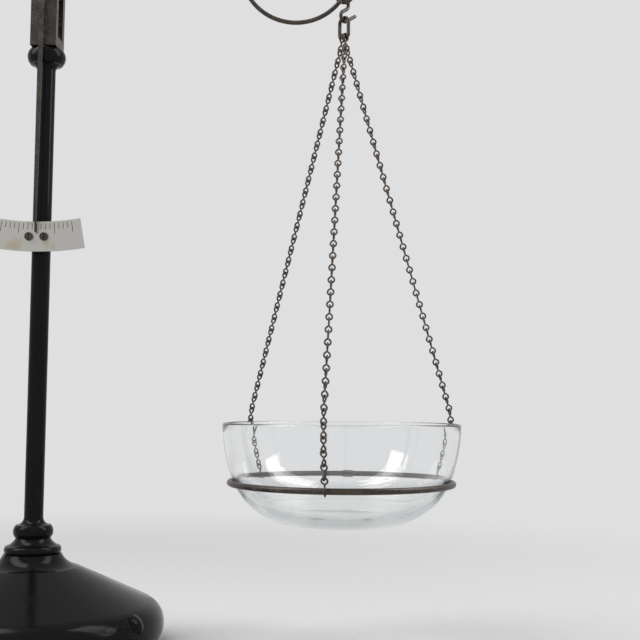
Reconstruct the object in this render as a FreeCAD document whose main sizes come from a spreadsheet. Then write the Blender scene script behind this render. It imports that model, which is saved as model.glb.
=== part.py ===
import FreeCAD, Part
import math
import os
import re
import Sketcher

# Driving sizes: name, number in millimetres or degrees, what it measures
SIZES = [
    ("arm_length", 163.0, "middle of the beam to the middle of an eye"),
    ("eye_height", 355.1, "table to the middle of the beam's eyes"),
    ("eye_radius", 4.2, "centre line of an eye"),
    ("eye_rod", 2.6, "diameter of the eye's rod"),
    ("end_rod", 2.4, "diameter of the beam's bent end"),
    ("root_rod", 7.0, "diameter of the arm at the hub"),
    ("dip_radius", 30.2, "centre line of the dip before the eye"),
    ("dip_depth", 16.1, "middle of the eye to the bottom of the dip"),
    ("neck_angle", 60.0, "steepest slope of the swan neck"),
    ("hump_radius", 34.0, "centre line of the hump before the dip"),
    ("arm_rise_angle", 12.0, "rise of the straight arm"),
    ("hub_radius", 9.0, "boss in the middle of the beam"),
    ("hub_thickness", 6.0, "boss along the knife edge"),
    ("hub_lift", 0.8, "middle of the boss above the knife edge"),
    ("knife_rise", 2.4, "knife edge above the middle of the eyes"),
    ("knife_width", 5.0, "widest part of the knife edge"),
    ("knife_angle", 30.0, "each flank from the upright"),
    ("knife_back", 2.2, "square back above the flanks"),
    ("knife_half", 12.6, "knife edge each way from the middle"),
    ("stub_radius", 1.5, "round stub for the pointer"),
    ("stub_length", 4.2, "stub past the knife edge"),
    ("bearing_gap", 0.05, "knife edge above the bottom of its groove"),
    ("cheek_gap", 10.0, "clear width between the fork's cheeks"),
    ("cheek_thickness", 4.0, "each cheek"),
    ("fork_width", 14.0, "fork along the beam"),
    ("fork_base", 6.0, "bottom of the fork"),
    ("fork_drop", 29.0, "fork's floor below the knife edge"),
    ("cheek_rise", 4.0, "top of the cheeks above the knife edge"),
    ("plate_width", 9.0, "bearing plate along the beam"),
    ("plate_depth", 4.0, "bearing plate below the knife edge"),
    ("groove_half", 3.6, "half width of the groove at its top"),
    ("column_radius", 5.0, "shaft of the column"),
    ("capital_radius", 8.5, "turned head of the column"),
    ("capital_height", 12.0, "turned head of the column"),
    ("foot_bead_radius", 9.0, "bead at the bottom of the shaft"),
    ("foot_bead_height", 7.0, "bead at the bottom of the shaft"),
    ("spigot_radius", 4.0, "lower end of the column, through the base"),
    ("top_spigot_radius", 2.5, "upper end of the column, through the fork"),
    ("thread_proud", 1.5, "spigot past its nut"),
    ("fit_gap", 0.1, "spigots and screws in their holes"),
    ("washer_radius", 11.0, "washer under the base's boss"),
    ("washer_thickness", 1.6, "washer under the base's boss"),
    ("column_nut_flats", 13.0, "nut under the base, across the flats"),
    ("column_nut_height", 6.0, "nut under the base"),
    ("fork_nut_flats", 8.0, "nut on the fork's floor, across the flats"),
    ("fork_nut_height", 3.6, "nut on the fork's floor"),
    ("collar_radius", 14.0, "collar between base and column"),
    ("collar_height", 8.0, "collar between base and column"),
    ("collar_land", 1.0, "seat of the collar past its edge"),
    ("base_radius", 69.5, "outside of the base"),
    ("base_edge", 13.2, "rounded edge of the base"),
    ("base_angle", 25.5, "top of the base"),
    ("base_wall", 6.0, "casting of the base"),
    ("base_land", 6.0, "flat foot of the base"),
    ("neck_radius", 24.0, "where the top of the base turns up"),
    ("neck_rise", 7.0, "turned-up neck of the base"),
    ("neck_curve", 12.0, "hollow curve of the neck"),
    ("boss_radius", 14.5, "boss inside the base"),
    ("boss_depth", 30.0, "boss below the collar"),
    ("stud_radius", 4.9, "round studs on the base"),
    ("stud_dome", 1.8, "head of a stud above its seat"),
    ("stud_seat", 2.6, "stud sunk in the base"),
    ("stud_lean_angle", 59.0, "axis of a stud from the upright, on the rounded edge"),
    ("stud_angle", 64.0, "first stud from the front"),
    ("pointer_length", 138.0, "knife edge to the tip of the pointer"),
    ("pointer_thickness", 1.2, "pointer"),
    ("pointer_head", 3.6, "round head of the pointer"),
    ("pointer_root", 1.6, "half width under the head"),
    ("pointer_tip", 0.4, "half width at the tip"),
    ("pointer_nut_flats", 6.0, "nut on the pointer, across the flats"),
    ("pointer_nut_height", 2.0, "nut on the pointer"),
    ("index_thickness", 1.2, "index plate"),
    ("index_height", 16.0, "index plate from inner to outer edge"),
    ("index_overlap", 6.0, "pointer's tip below the plate's inner edge"),
    ("index_angle", 10.0, "index plate each way from the middle"),
    ("clamp_wall", 3.0, "clamp round the column"),
    ("clamp_height", 9.0, "clamp round the column"),
    ("lug_width", 15.0, "lug that carries the index plate"),
    ("lug_length", 1.5, "lug in front of the clamp"),
    ("screw_radius", 1.2, "small screws"),
    ("screw_head", 2.2, "head of the small screws"),
    ("screw_head_height", 1.0, "head of the small screws"),
    ("screw_pitch", 8.0, "between the index plate's screws"),
    ("screw_slot", 0.5, "slot in the screw heads"),
    ("screw_grip", 1.4, "plate screws past the lug"),
    ("hook_wire", 2.0, "wire of the hook"),
    ("hook_loop", 3.6, "centre line of the hook's upper loop"),
    ("hook_seat", 0.65, "top of the hook's loop above the eye's rod"),
    ("hook_bend", 2.8, "centre line of the hook's lower bend"),
    ("hook_drop", 7.6, "between the centres of loop and bend"),
    ("hook_angle", 50.0, "hook's plane from the beam's plane"),
    ("hook_tip_angle", 33.0, "rise of the flared tip"),
    ("hook_tip", 9.6, "straight flared tip"),
    ("hook_tail_angle", 25.0, "upper loop below the level of its centre"),
    ("hang_gap", 0.1, "play between hung pieces"),
    ("ring_wire", 2.0, "wire of the suspension ring"),
    ("ring_height", 10.8, "centre line of the suspension ring"),
    ("ring_corner", 1.2, "centre line of its lower corners"),
    ("chain_reach", 1.35, "outer top links from the middle of the suspension ring"),
    ("chain_pair", 1.2, "between the first two top links"),
    ("chain_drop", 211.2, "suspension ring to the rim of the bowl"),
    ("chain_angle", -8.7, "first chain from the front"),
    ("link_wire", 0.95, "wire of the chain"),
    ("link_pitch", 6.6, "one link, nearly"),
    ("loop_share", 0.232, "centre line of a link's loops as a share of the link"),
    ("neck_share", 0.091, "bend between loop and neck as a share of the link"),
    ("throat_angle", 50.0, "straight sides of a loop from the line of the neck"),
    ("tip_gap", 0.16, "end of a loop's wire from the neck"),
    ("top_link", 7.4, "top link below the suspension ring"),
    ("end_link", 6.6, "end link above the pan ring"),
    ("rim_gap", 0.25, "chain from the rim of the bowl"),
    ("bend_rise", 0.8, "chain's bend above the rim"),
    ("bend_drop", 12.4, "chain's second bend below the rim"),
    ("wall_gap", 0.9, "chain from the bowl's wall at the second bend"),
    ("top_play", 0.5, "top link round the suspension ring"),
    ("pan_wire", 3.2, "wire of the pan ring"),
    ("ring_inset", 4.4, "rim of the bowl to the centre line of the pan ring"),
    ("wrap_gap", 0.2, "end link round the pan ring"),
    ("seat_gap", 0.2, "bowl from the pan ring that carries it"),
    ("end_lean_angle", 24.0, "end link from the upright"),
    ("end_hook_angle", 14.0, "end link's hook past the bottom of the pan ring"),
    ("bowl_radius", 63.5, "rim of the bowl"),
    ("bowl_depth", 53.7, "rim to the underside"),
    ("bowl_wall", 2.2, "glass at the rim"),
    ("bowl_bottom", 5.0, "glass at the bottom"),
    ("bowl_curve", 38.3, "outer curve of the bowl"),
    ("wall_curve", 90.0, "outer curve of the wall, from the rim down"),
    ("bowl_inset", 41.1, "rim of the bowl to its flat underside"),
    ("bowl_inner_curve", 33.5, "inner curve of the bowl"),
]

ALIASES = {alias for alias, number, meaning in SIZES}
CHAIN_HALF_TURNS = (1, 0, 0)
CHAIN_TWIST_POWERS = (3, 1, 1)
TWIST_REST = 0.41
CHAINS_PER_PAN = len(CHAIN_HALF_TURNS)
TOP_LEAN_SHARE = 0.5
STUDS = 4
TURN = 360.0
HALF_TURN = TURN / 2
QUARTER = TURN / 4
SIDES = {"right": 0.0, "left": HALF_TURN}
UP = FreeCAD.Vector(0, 0, 1)
ALONG = FreeCAD.Vector(1, 0, 0)
BACK = FreeCAD.Vector(0, 1, 0)

doc = FreeCAD.newDocument("apothecary_scale")
sheet = doc.addObject("Spreadsheet::Sheet", "Sizes")
for row, (alias, number, meaning) in enumerate(SIZES, start=1):
    sheet.set(f"A{row}", meaning)
    sheet.set(f"B{row}", str(number))
    sheet.setAlias(f"B{row}", alias)
doc.recompute()

pieces = []


def bound(formula):
    """Write a formula of size names in the sheet's terms."""
    def name_cell(word):
        return f"Sizes.{word.group()}" if word.group() in ALIASES else word.group()
    return re.sub(r"[a-z]\w*", name_cell, formula)


def value(formula):
    """Work a formula out as a plain number."""
    answer = sheet.evalExpression(bound(formula))
    return float(getattr(answer, "Value", answer))


def keep(piece, label):
    """Name a finished sub-part, which is then written to a file of that name."""
    piece.Label = label
    pieces.append(piece)
    return piece


def place(piece, along="0", across="0", height="0", turn=0.0):
    """Put a sub-part at formulas of the sizes, turned about the upright."""
    piece.Placement = FreeCAD.Placement(FreeCAD.Vector(), FreeCAD.Rotation(UP, turn))
    piece.setExpression("Placement.Base.x", bound(along))
    piece.setExpression("Placement.Base.y", bound(across))
    piece.setExpression("Placement.Base.z", bound(height))


def plane_of(body, role):
    """Find one of a body's own origin planes."""
    for feature in body.Origin.OriginFeatures:
        if feature.Role == role:
            return feature


def new_sketch(body, role):
    """Start a sketch on one of the body's origin planes."""
    sketch = body.newObject("Sketcher::SketchObject", f"{body.Name}_sketch")
    sketch.AttachmentSupport = [(plane_of(body, role), "")]
    sketch.MapMode = "FlatFace"
    return sketch


def bind(sketch, constraint, formula):
    """Add a dimension to a sketch and tie it to the sheet."""
    index = sketch.addConstraint(constraint)
    sketch.setExpression(f"Constraints[{index}]", bound(formula))


def arc_between(start, end, radius, side):
    """Minor arc from start to end, its centre on the left (1) or right (-1) of the chord."""
    chord = end - start
    middle = (start + end) * 0.5
    offset = math.sqrt(max(radius ** 2 - (chord.Length / 2) ** 2, 0.0))
    left = FreeCAD.Vector(-chord.y, chord.x, 0)
    left.normalize()
    centre = middle + left * (offset * side)
    first, last = (start, end) if side > 0 else (end, start)
    angles = [math.atan2(point.y - centre.y, point.x - centre.x) for point in (first, last)]
    return Part.ArcOfCircle(Part.Circle(centre, FreeCAD.Vector(0, 0, 1), radius), *angles)


def outline(sketch, corners):
    """Close an outline of corners given as formulas; a corner with a radius and a side starts an arc."""
    spots = [FreeCAD.Vector(value(corner[0]), value(corner[1]), 0) for corner in corners]
    ends = []
    for index, corner in enumerate(corners):
        start = spots[index]
        end = spots[(index + 1) % len(spots)]
        if len(corner) == 2:
            edge = sketch.addGeometry(Part.LineSegment(start, end), False)
            ends.append((edge, 1, 2))
        else:
            radius, side = corner[2], corner[3]
            edge = sketch.addGeometry(arc_between(start, end, value(radius), side), False)
            ends.append((edge, 1, 2) if side > 0 else (edge, 2, 1))
    for index, (edge, head, tail) in enumerate(ends):
        following = ends[(index + 1) % len(ends)]
        sketch.addConstraint(Sketcher.Constraint("Coincident", edge, tail, following[0], following[1]))
    for (edge, head, tail), spot, corner in zip(ends, spots, corners):
        bind(sketch, Sketcher.Constraint("DistanceX", -1, 1, edge, head, spot.x), corner[0])
        bind(sketch, Sketcher.Constraint("DistanceY", -1, 1, edge, head, spot.y), corner[1])
        if len(corner) > 2:
            bind(sketch, Sketcher.Constraint("Radius", edge, value(corner[2])), corner[2])


def circle(sketch, across, height, radius):
    """Draw a circle at formulas of the sizes."""
    centre = FreeCAD.Vector(value(across), value(height), 0)
    edge = sketch.addGeometry(Part.Circle(centre, FreeCAD.Vector(0, 0, 1), value(radius)), False)
    bind(sketch, Sketcher.Constraint("DistanceX", -1, 1, edge, 3, centre.x), across)
    bind(sketch, Sketcher.Constraint("DistanceY", -1, 1, edge, 3, centre.y), height)
    bind(sketch, Sketcher.Constraint("Radius", edge, value(radius)), radius)


def new_body(name):
    """Start an empty body."""
    return doc.addObject("PartDesign::Body", name)


def lathe(name, corners):
    """Turn an outline of radius and height about the upright."""
    body = new_body(name)
    sketch = new_sketch(body, "XZ_Plane")
    outline(sketch, corners)
    turned = body.newObject("PartDesign::Revolution", f"{name}_turned")
    turned.Profile = sketch
    turned.ReferenceAxis = (sketch, ["V_Axis"])
    turned.Angle = TURN
    return body


def pad(body, sketch, length, both_ways):
    """Thicken a sketch to a formula of the sizes."""
    feature = body.newObject("PartDesign::Pad", f"{body.Name}_pad")
    feature.Profile = sketch
    feature.setExpression("Length", bound(length))
    feature.SideType = "Symmetric" if both_ways else "One side"
    return feature


def pocket_through(body, sketch):
    """Cut a sketch right through a body, both ways."""
    feature = body.newObject("PartDesign::Pocket", f"{body.Name}_pocket")
    feature.Profile = sketch
    feature.Type = "ThroughAll"
    feature.SideType = "Symmetric"
    return feature


def hex_corners(flats):
    """Corners of a hexagon with two flats across the first axis."""
    half = f"({flats}) / 2"
    corner = f"({flats}) / sqrt(3)"
    return [
        (half, f"-{corner} / 2"),
        (half, f"{corner} / 2"),
        ("0", corner),
        (f"-{half}", f"{corner} / 2"),
        (f"-{half}", f"-{corner} / 2"),
        ("0", f"-{corner}"),
    ]


def hex_nut(name, role, flats, bore, height):
    """Hexagon nut, thickened one way from a plane."""
    body = new_body(name)
    sketch = new_sketch(body, role)
    outline(sketch, hex_corners(flats))
    circle(sketch, "0", "0", bore)
    pad(body, sketch, height, False)
    return body


def group(label, master, placements):
    """Identical solids in one sub-part, copied from a hidden master."""
    doc.recompute()
    copies = []
    for placement in placements:
        copy = master.Shape.copy()
        copy.Placement = placement.multiply(copy.Placement)
        copies.append(copy)
    holder = doc.addObject("Part::Feature", label)
    holder.Shape = Part.makeCompound(copies)
    return keep(holder, label)


def cylinder(name, radius, height, turned=None):
    """Plain cylinder whose radius and height are formulas of the sizes."""
    piece = doc.addObject("Part::Cylinder", name)
    piece.setExpression("Radius", bound(radius))
    piece.setExpression("Height", bound(height))
    if turned:
        piece.Placement = FreeCAD.Placement(FreeCAD.Vector(), turned)
    return piece


def move(piece, along="0", across="0", height="0"):
    """Shift a primitive to formulas of the sizes, keeping its turn."""
    piece.setExpression("Placement.Base.x", bound(along))
    piece.setExpression("Placement.Base.y", bound(across))
    piece.setExpression("Placement.Base.z", bound(height))
    return piece


def cut(name, base, tools):
    """Cut several tools out of a base."""
    joined = doc.addObject("Part::MultiFuse", f"{name}_tools")
    joined.Shapes = tools
    piece = doc.addObject("Part::Cut", name)
    piece.Base = base
    piece.Tool = joined
    return piece


TO_FRONT = FreeCAD.Rotation(ALONG, QUARTER)
TO_BACK = FreeCAD.Rotation(ALONG, -QUARTER)

# Heights and radii that follow from the driving sizes
KNIFE_Z = "(eye_height + knife_rise)"
FORK_FLOOR = f"({KNIFE_Z} - fork_drop)"
CHEEK_TOP = f"({KNIFE_Z} + cheek_rise)"
COLUMN_TOP = f"({FORK_FLOOR} - fork_base)"
EDGE_MIDDLE = "(base_radius - base_edge)"
SHOULDER_R = f"({EDGE_MIDDLE} + base_edge * sin(base_angle))"
SHOULDER_Z = "(base_edge + base_edge * cos(base_angle))"
CAVITY_R = f"({EDGE_MIDDLE} - base_land)"


def base_top(radius):
    """Height of the base's sloping top at a radius."""
    return f"({SHOULDER_Z} + ({SHOULDER_R} - {radius}) * tan(base_angle))"


def base_roof(radius):
    """Height of the hollow's roof at a radius."""
    return f"({base_top(radius)} - base_wall / cos(base_angle))"


NECK_Z = base_top("neck_radius")
SEAT_Z = f"({NECK_Z} + neck_rise)"
SEAT_R = "(collar_radius + collar_land)"
COLLAR_TOP = f"({SEAT_Z} + collar_height)"
BOSS_Z = f"({SEAT_Z} - boss_depth)"
COLUMN_NUT_Z = f"({BOSS_Z} - washer_thickness - column_nut_height)"
SPIGOT_HOLE = "(spigot_radius + fit_gap)"
TOP_HOLE = "(top_spigot_radius + fit_gap)"


def make_base():
    """Hollow casting with a rounded edge, a sloping top and four seats for the studs."""
    casting = lathe("base_casting", [
        (SPIGOT_HOLE, BOSS_Z),
        ("boss_radius", BOSS_Z),
        ("boss_radius", base_roof("boss_radius")),
        (CAVITY_R, base_roof(CAVITY_R)),
        (CAVITY_R, "0"),
        (EDGE_MIDDLE, "0", "base_edge", 1),
        (SHOULDER_R, SHOULDER_Z),
        ("neck_radius", NECK_Z, "neck_curve", -1),
        (SEAT_R, SEAT_Z),
        (SPIGOT_HOLE, SEAT_Z),
    ])
    seats = []
    for number, placement in enumerate(stud_placements()):
        seat = cylinder(f"stud_seat_{number}", "stud_radius + fit_gap", "stud_seat + stud_dome")
        sunk = FreeCAD.Vector(0, 0, -value("stud_seat"))
        seat.Placement = placement.multiply(FreeCAD.Placement(sunk, FreeCAD.Rotation()))
        seats.append(seat)
    keep(cut("base_cut", casting, seats), "base")


def stud_placements():
    """Seats of the studs, square to the rounded edge and evenly round the base."""
    first = value("stud_angle")
    reach = value(f"{EDGE_MIDDLE} + base_edge * sin(stud_lean_angle)")
    height = value("base_edge + base_edge * cos(stud_lean_angle)")
    lean = FreeCAD.Rotation(BACK, value("stud_lean_angle"))
    spots = []
    for number in range(STUDS):
        round_base = FreeCAD.Rotation(UP, first + number * TURN / STUDS - QUARTER)
        spot = round_base.multVec(FreeCAD.Vector(reach, 0, height))
        spots.append(FreeCAD.Placement(spot, round_base.multiply(lean)))
    return spots


def make_studs():
    """Round studs with domed heads."""
    dome = "((stud_radius^2 + stud_dome^2) / (2 * stud_dome))"
    stud = lathe("stud", [
        ("0", "-stud_seat"),
        ("stud_radius", "-stud_seat"),
        ("stud_radius", "0", dome, 1),
        ("0", "stud_dome"),
    ])
    group("base_studs", stud, stud_placements())


def make_collar():
    """Turned collar between the base and the column."""
    half_way = f"({SEAT_Z} + collar_height / 2)"
    keep(lathe("collar", [
        (SPIGOT_HOLE, SEAT_Z),
        ("collar_radius", SEAT_Z, "collar_height / 2 / sqrt(2)", 1),
        ("collar_radius", half_way, "collar_height", -1),
        ("foot_bead_radius", COLLAR_TOP),
        (SPIGOT_HOLE, COLLAR_TOP),
    ]), "column_collar")


def make_column():
    """Turned column with a bead at its foot, a flared head and a spigot at each end."""
    bead_top = f"({COLLAR_TOP} + foot_bead_height)"
    foot_hollow = "(foot_bead_radius - column_radius)"
    head_hollow = "(capital_radius - column_radius)"
    head_bottom = f"({COLUMN_TOP} - capital_height)"
    head_bead = f"({head_bottom} + {head_hollow})"
    keep(lathe("shaft", [
        ("0", f"{COLUMN_NUT_Z} - thread_proud"),
        ("spigot_radius", f"{COLUMN_NUT_Z} - thread_proud"),
        ("spigot_radius", COLLAR_TOP),
        ("foot_bead_radius", COLLAR_TOP, "foot_bead_height / sqrt(2)", 1),
        ("foot_bead_radius", bead_top, foot_hollow, -1),
        ("column_radius", f"{bead_top} + {foot_hollow}"),
        ("column_radius", head_bottom, head_hollow, -1),
        ("capital_radius", head_bead, f"({COLUMN_TOP} - {head_bead}) / sqrt(2)", 1),
        ("capital_radius", COLUMN_TOP),
        ("top_spigot_radius", COLUMN_TOP),
        ("top_spigot_radius", f"{FORK_FLOOR} + fork_nut_height + thread_proud"),
        ("0", f"{FORK_FLOOR} + fork_nut_height + thread_proud"),
    ]), "column")


def make_column_fixings():
    """Washer and nut under the base's boss, nut on the fork's floor."""
    keep(lathe("washer", [
        (SPIGOT_HOLE, f"{BOSS_Z} - washer_thickness"),
        ("washer_radius", f"{BOSS_Z} - washer_thickness"),
        ("washer_radius", BOSS_Z),
        (SPIGOT_HOLE, BOSS_Z),
    ]), "column_washer")
    nut = hex_nut("lower_nut", "XY_Plane", "column_nut_flats", SPIGOT_HOLE, "column_nut_height")
    place(nut, height=COLUMN_NUT_Z)
    keep(nut, "column_nut")
    nut = hex_nut("upper_nut", "XY_Plane", "fork_nut_flats", TOP_HOLE, "fork_nut_height")
    place(nut, height=FORK_FLOOR)
    keep(nut, "fork_nut")


def make_fork():
    """Fork with two cheeks, each notched for a bearing plate."""
    inner = "(cheek_gap / 2)"
    outer = "(cheek_gap / 2 + cheek_thickness)"
    body = new_body("fork_body")
    sketch = new_sketch(body, "YZ_Plane")
    outline(sketch, [
        (f"-{outer}", COLUMN_TOP),
        (outer, COLUMN_TOP),
        (outer, CHEEK_TOP),
        (inner, CHEEK_TOP),
        (inner, FORK_FLOOR),
        (f"-{inner}", FORK_FLOOR),
        (f"-{inner}", CHEEK_TOP),
        (f"-{outer}", CHEEK_TOP),
    ])
    pad(body, sketch, "fork_width", True)
    hole = new_sketch(body, "XY_Plane")
    circle(hole, "0", "0", TOP_HOLE)
    pocket_through(body, hole)
    notch = new_sketch(body, "XZ_Plane")
    notch_floor = f"({KNIFE_Z} - plate_depth)"
    outline(notch, [
        ("-plate_width / 2", notch_floor),
        ("plate_width / 2", notch_floor),
        ("plate_width / 2", f"{CHEEK_TOP} + plate_depth"),
        ("-plate_width / 2", f"{CHEEK_TOP} + plate_depth"),
    ])
    pocket_through(body, notch)
    keep(body, "fork")


def make_bearing_plates():
    """Hard plates in the cheeks, grooved for the knife edge."""
    body = new_body("bearing_plate")
    sketch = new_sketch(body, "XZ_Plane")
    outline(sketch, [
        ("-plate_width / 2", f"{KNIFE_Z} - plate_depth"),
        ("plate_width / 2", f"{KNIFE_Z} - plate_depth"),
        ("plate_width / 2", CHEEK_TOP),
        ("groove_half", CHEEK_TOP),
        ("0", f"{KNIFE_Z} - bearing_gap"),
        ("-groove_half", CHEEK_TOP),
        ("-plate_width / 2", CHEEK_TOP),
    ])
    pad(body, sketch, "cheek_thickness", True)
    middle = BACK * value("(cheek_gap + cheek_thickness) / 2")
    seats = [FreeCAD.Placement(spot, FreeCAD.Rotation()) for spot in (middle, -middle)]
    group("bearing_plates", body, seats)


# Index plate on its clamp
INDEX_INNER = "(pointer_length - index_overlap)"
INDEX_OUTER = f"({INDEX_INNER} + index_height)"
INDEX_Z = f"({KNIFE_Z} - {INDEX_INNER} - index_height / 2)"
CLAMP_R = "(column_radius + clamp_wall)"
LUG_FRONT = f"({CLAMP_R} + lug_length)"
SCREW_HOLE = "(screw_radius + fit_gap)"
SET_SCREW = "(clamp_wall - fit_gap)"


def make_screw(name, length):
    """Slotted screw, its head standing up from the level it seats on."""
    body = lathe(name, [
        ("0", f"-{length}"),
        ("screw_radius", f"-{length}"),
        ("screw_radius", "0"),
        ("screw_head", "0"),
        ("screw_head", "screw_head_height"),
        ("0", "screw_head_height"),
    ])
    slot = new_sketch(body, "XZ_Plane")
    outline(slot, [
        ("-screw_slot / 2", "screw_head_height - screw_slot"),
        ("screw_slot / 2", "screw_head_height - screw_slot"),
        ("screw_slot / 2", "screw_head_height + screw_slot"),
        ("-screw_slot / 2", "screw_head_height + screw_slot"),
    ])
    pocket_through(body, slot)
    return body


def make_index_clamp():
    """Ring round the column with a flat lug in front and a tapped hole behind."""
    bottom = f"{INDEX_Z} - clamp_height / 2"
    ring = move(cylinder("clamp_ring", CLAMP_R, "clamp_height"), height=bottom)
    lug = doc.addObject("Part::Box", "clamp_lug")
    lug.setExpression("Length", bound("lug_width"))
    lug.setExpression("Width", bound(LUG_FRONT))
    lug.setExpression("Height", bound("clamp_height"))
    move(lug, along="-lug_width / 2", across=f"-{LUG_FRONT}", height=bottom)
    whole = doc.addObject("Part::Fuse", "clamp_whole")
    whole.Base = ring
    whole.Tool = lug
    bore = move(cylinder("clamp_bore", "column_radius + fit_gap", "clamp_height"), height=bottom)
    tools = [bore]
    for name, along in (("left_tap", "-screw_pitch / 2"), ("right_tap", "screw_pitch / 2")):
        tap = cylinder(name, SCREW_HOLE, "lug_length + screw_grip", TO_BACK)
        tools.append(move(tap, along=along, across=f"-{LUG_FRONT}", height=INDEX_Z))
    set_tap = cylinder("set_tap", SCREW_HOLE, CLAMP_R, TO_BACK)
    tools.append(move(set_tap, height=INDEX_Z))
    keep(cut("clamp_cut", whole, tools), "index_clamp")


def make_index_plate():
    """Curved plate whose edges run round the knife edge."""
    body = new_body("index_body")
    sketch = new_sketch(body, "XZ_Plane")
    inner_across = f"({INDEX_INNER} * sin(index_angle))"
    inner_down = f"({INDEX_INNER} * cos(index_angle))"
    outer_across = f"({INDEX_OUTER} * sin(index_angle))"
    outer_down = f"({INDEX_OUTER} * cos(index_angle))"
    outline(sketch, [
        (f"-{outer_across}", f"-{outer_down}", INDEX_OUTER, 1),
        (outer_across, f"-{outer_down}"),
        (inner_across, f"-{inner_down}", INDEX_INNER, -1),
        (f"-{inner_across}", f"-{inner_down}"),
    ])
    for along in ("-screw_pitch / 2", "screw_pitch / 2"):
        circle(sketch, along, f"{INDEX_Z} - {KNIFE_Z}", SCREW_HOLE)
    pad(body, sketch, "index_thickness", False)
    place(body, across=f"-{LUG_FRONT}", height=KNIFE_Z)
    keep(body, "index_plate")


def make_index_screws():
    """Two screws through the plate, one set screw behind."""
    face = value(f"-{LUG_FRONT} - index_thickness")
    middle = value(INDEX_Z)
    half = value("screw_pitch / 2")
    screw = make_screw("plate_screw", "(index_thickness + lug_length + screw_grip)")
    spots = [FreeCAD.Vector(along, face, middle) for along in (-half, half)]
    group("index_screws", screw, [FreeCAD.Placement(spot, TO_FRONT) for spot in spots])
    screw = make_screw("set_screw", SET_SCREW)
    behind = FreeCAD.Placement(FreeCAD.Vector(0, value(CLAMP_R), middle), TO_BACK)
    group("clamp_screw", screw, [behind])


# Beam with its knife edge and pointer
FLANK_HEIGHT = "(knife_width / 2 / tan(knife_angle))"


def make_knife():
    """Steel prism with its edge down and a round stub in front."""
    body = new_body("knife_body")
    sketch = new_sketch(body, "XZ_Plane")
    outline(sketch, [
        ("0", "0"),
        ("knife_width / 2", FLANK_HEIGHT),
        ("knife_width / 2", f"{FLANK_HEIGHT} + knife_back"),
        ("-knife_width / 2", f"{FLANK_HEIGHT} + knife_back"),
        ("-knife_width / 2", FLANK_HEIGHT),
    ])
    pad(body, sketch, "2 * knife_half", True)
    stub = new_sketch(body, "XZ_Plane")
    circle(stub, "0", FLANK_HEIGHT, "stub_radius")
    pad(body, stub, "knife_half + stub_length", False)
    place(body, height=KNIFE_Z)
    return keep(body, "knife_edge")


def make_pointer():
    """Flat needle hung on the knife edge's stub, with its nut."""
    body = new_body("pointer_body")
    sketch = new_sketch(body, "XZ_Plane")
    under_head = f"({FLANK_HEIGHT} - 2 * pointer_head)"
    outline(sketch, [
        ("pointer_head", FLANK_HEIGHT, "pointer_head", 1),
        ("0", f"{FLANK_HEIGHT} + pointer_head", "pointer_head", 1),
        ("-pointer_head", FLANK_HEIGHT),
        ("-pointer_root", under_head),
        ("-pointer_tip", "-pointer_length"),
        ("pointer_tip", "-pointer_length"),
        ("pointer_root", under_head),
    ])
    circle(sketch, "0", FLANK_HEIGHT, "stub_radius + fit_gap")
    pad(body, sketch, "pointer_thickness", False)
    place(body, across="-knife_half", height=KNIFE_Z)
    keep(body, "pointer")
    bore = "(stub_radius + fit_gap)"
    nut = hex_nut("pointer_nut_body", "XZ_Plane", "pointer_nut_flats", bore, "pointer_nut_height")
    place(nut, across="-knife_half - pointer_thickness", height=f"{KNIFE_Z} + {FLANK_HEIGHT}")
    keep(nut, "pointer_nut")


def polar(centre, first, second, radius, angle):
    """Point of a circle in the plane of two directions."""
    turn = math.radians(angle)
    return centre + first * (radius * math.cos(turn)) + second * (radius * math.sin(turn))


def bend(centre, first, second, radius, start, end):
    """Arc of a wire's centre line between two angles in the plane of two directions."""
    angles = (start, (start + end) / 2, end)
    return Part.Arc(*[polar(centre, first, second, radius, angle) for angle in angles]).toShape()


def straight(start, end):
    """Straight stretch of a wire's centre line."""
    return Part.LineSegment(start, end).toShape()


def section(edge, parameter, radius):
    """Round section square to an edge at one of its ends."""
    return Part.Wire(Part.Circle(edge.valueAt(parameter), edge.tangentAt(parameter), radius).toShape())


def rod(edges, radius, end_radius=None):
    """Round rod along joined edges, tapering where an end radius is given."""
    sections = [section(edges[0], edges[0].FirstParameter, radius)]
    if end_radius:
        sections.append(section(edges[-1], edges[-1].LastParameter, end_radius))
    return Part.Wire(edges).makePipeShell(sections, True, False)


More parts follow.
